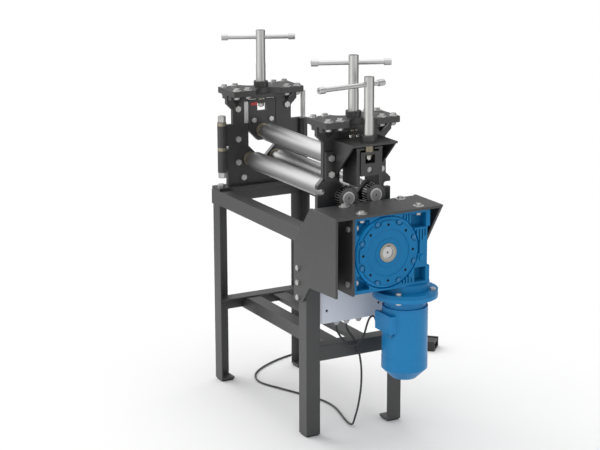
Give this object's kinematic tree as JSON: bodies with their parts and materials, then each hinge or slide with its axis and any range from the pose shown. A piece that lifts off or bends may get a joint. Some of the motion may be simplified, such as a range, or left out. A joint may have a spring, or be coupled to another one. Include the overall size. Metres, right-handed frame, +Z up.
{
  "type": "plate rolling machine",
  "caption": "Three-roller plate rolling machine on an angle-iron stand with feed screws, swing-out gate, gear train and blue worm gearmotor.",
  "frame": {"origin": "on the floor under the middle of the machine's outer box, cables and pedal left out", "axes": "+Z up, +X along the rollers from the swing-out gate towards the gearbox, -Y towards the operator"},
  "size_m": [1.1965, 1.0842, 1.476],
  "materials": {
    "frame_paint": "satin anthracite paint",
    "blue_paint": "satin blue paint on castings",
    "grey_paint": "light grey powder coat",
    "steel": "bright turned steel",
    "zinc": "zinc-plated fasteners",
    "bronze": "dull bronze",
    "pointer_red": "red painted leaf pointer",
    "rubber": "black rubber",
    "black_plastic": "black moulded plastic"
  },
  "bodies": {
    "stand": {"leg_far_front": "frame_paint", "leg_far_rear": "frame_paint", "leg_near_front": "frame_paint", "leg_near_rear": "frame_paint", "foot_pads": "rubber", "top_rail_front": "frame_paint", "top_rail_rear": "frame_paint", "top_rail_far": "frame_paint", "top_rail_near": "frame_paint", "low_cross_rails": "frame_paint", "low_long_rails": "frame_paint", "far_lower_plate": "frame_paint", "hinge_pin": "zinc", "bronze_bushes": "bronze", "near_plate": "frame_paint", "near_head_plate": "frame_paint", "housing_bolts": "zinc", "tail_bracket": "frame_paint", "idler_pin": "steel", "bracket_side": "frame_paint", "bracket_inner": "frame_paint", "bracket_top": "frame_paint", "bracket_back": "frame_paint", "drive_bolts": "zinc", "gearbox_case": "blue_paint", "gearbox_cover": "blue_paint", "motor_body": "blue_paint", "terminal_box": "blue_paint", "control_box": "grey_paint", "cable_glands": "black_plastic", "motor_lead": "rubber", "pedal_lead": "rubber", "pedal_base": "black_plastic"},
    "treadle": {"pedal_treadle": "black_plastic"},
    "gate": {"gate_frame": "frame_paint", "gate_head_plate": "frame_paint", "gate_bolts": "zinc", "gate_scale": "zinc"},
    "latch": {"latch_pin": "zinc"},
    "far_slide": {"far_slider": "frame_paint", "slider_bolts": "zinc", "far_pointer": "pointer_red", "far_bush": "bronze"},
    "near_slide": {"near_slider": "frame_paint", "near_bush": "bronze"},
    "tail_slide": {"tail_slider": "frame_paint"},
    "far_feed": {"far_screw": "steel"},
    "near_feed": {"near_screw": "steel"},
    "tail_feed": {"tail_screw": "steel"},
    "far_tommy": {"far_bar": "steel"},
    "near_tommy": {"near_bar": "steel"},
    "tail_tommy": {"tail_bar": "steel"},
    "upper_roll": {"top_roller": "steel"},
    "front_roll": {"front_roller": "steel", "front_gear": "steel"},
    "rear_roll": {"rear_roller": "steel", "rear_gear": "steel"},
    "idler": {"idler_gear": "steel"},
    "drive": {"drive_shaft": "steel", "gearbox_sleeve": "steel"}
  },
  "joints": [
    {"name": "gate_swing", "type": "hinge", "parent": "stand", "child": "gate", "pos_m": [-0.46975, -0.20305, 1.001], "axis": [0, 0, 1], "range_deg": [0, 110]},
    {"name": "latch_drop", "type": "slide", "parent": "gate", "child": "latch", "axis": [0, 0, 1], "range_m": [-0.1, 0]},
    {"name": "near_lift", "type": "slide", "parent": "stand", "child": "near_slide", "axis": [0, 0, 1], "range_m": [-0.055, 0.006]},
    {"name": "far_lift", "type": "slide", "parent": "gate", "child": "far_slide", "axis": [0, 0, 1], "range_m": [-0.0555, 0.0065]},
    {"name": "tail_lift", "type": "slide", "parent": "stand", "child": "tail_slide", "axis": [0, 0, 1], "range_m": [-0.0555, 0.0065]},
    {"name": "near_turn", "type": "hinge", "parent": "near_slide", "child": "near_feed", "pos_m": [0.26925, -0.01405, 1.3], "axis": [0, 0, 1], "range_deg": [-3340, 380]},
    {"name": "far_turn", "type": "hinge", "parent": "far_slide", "child": "far_feed", "pos_m": [-0.48475, -0.01405, 1.3], "axis": [0, 0, 1], "range_deg": [-3340, 380]},
    {"name": "tail_turn", "type": "hinge", "parent": "tail_slide", "child": "tail_feed", "pos_m": [0.38325, -0.01405, 1.3], "axis": [0, 0, 1], "range_deg": [-75, 240]},
    {"name": "near_bar_slide", "type": "slide", "parent": "near_feed", "child": "near_tommy", "axis": [0.3827, 0.9239, 0], "range_m": [-0.085, 0.1]},
    {"name": "far_bar_slide", "type": "slide", "parent": "far_feed", "child": "far_tommy", "axis": [0.4067, 0.9135, 0], "range_m": [-0.085, 0.1]},
    {"name": "tail_bar_slide", "type": "slide", "parent": "tail_feed", "child": "tail_tommy", "axis": [-0.1357, 0.9907, 0], "range_m": [-0.02, 0.18]},
    {"name": "upper_turn", "type": "hinge", "parent": "near_slide", "child": "upper_roll", "pos_m": [-0.11275, -0.01405, 1.062], "axis": [1, 0, 0], "continuous": true},
    {"name": "front_turn", "type": "hinge", "parent": "stand", "child": "front_roll", "pos_m": [-0.11275, -0.07405, 0.948], "axis": [1, 0, 0], "continuous": true},
    {"name": "rear_turn", "type": "hinge", "parent": "stand", "child": "rear_roll", "pos_m": [-0.11275, 0.04595, 0.948], "axis": [1, 0, 0], "continuous": true},
    {"name": "idler_turn", "type": "hinge", "parent": "stand", "child": "idler", "pos_m": [0.31725, -0.01405, 0.87306], "axis": [1, 0, 0], "continuous": true},
    {"name": "drive_turn", "type": "hinge", "parent": "stand", "child": "drive", "pos_m": [0.38725, -0.00835, 0.77122], "axis": [1, 0, 0], "continuous": true},
    {"name": "treadle_turn", "type": "hinge", "parent": "stand", "child": "treadle", "pos_m": [-0.45349, 0.73921, 0.034], "axis": [-0.7071, 0.7071, 0], "range_deg": [0, 8], "stiffness_Nm_per_rad": 3}
  ],
  "couplings": [
    {"joint": "far_lift", "follows": "near_lift", "ratio": 1},
    {"joint": "tail_lift", "follows": "near_lift", "ratio": 1},
    {"joint": "near_turn", "follows": "near_lift", "rad_per_m": 1047.2},
    {"joint": "far_turn", "follows": "near_lift", "rad_per_m": 1047.2},
    {"joint": "rear_turn", "follows": "front_turn", "ratio": 1},
    {"joint": "idler_turn", "follows": "front_turn", "ratio": -0.77778},
    {"joint": "drive_turn", "follows": "front_turn", "ratio": 0.875}
  ]
}
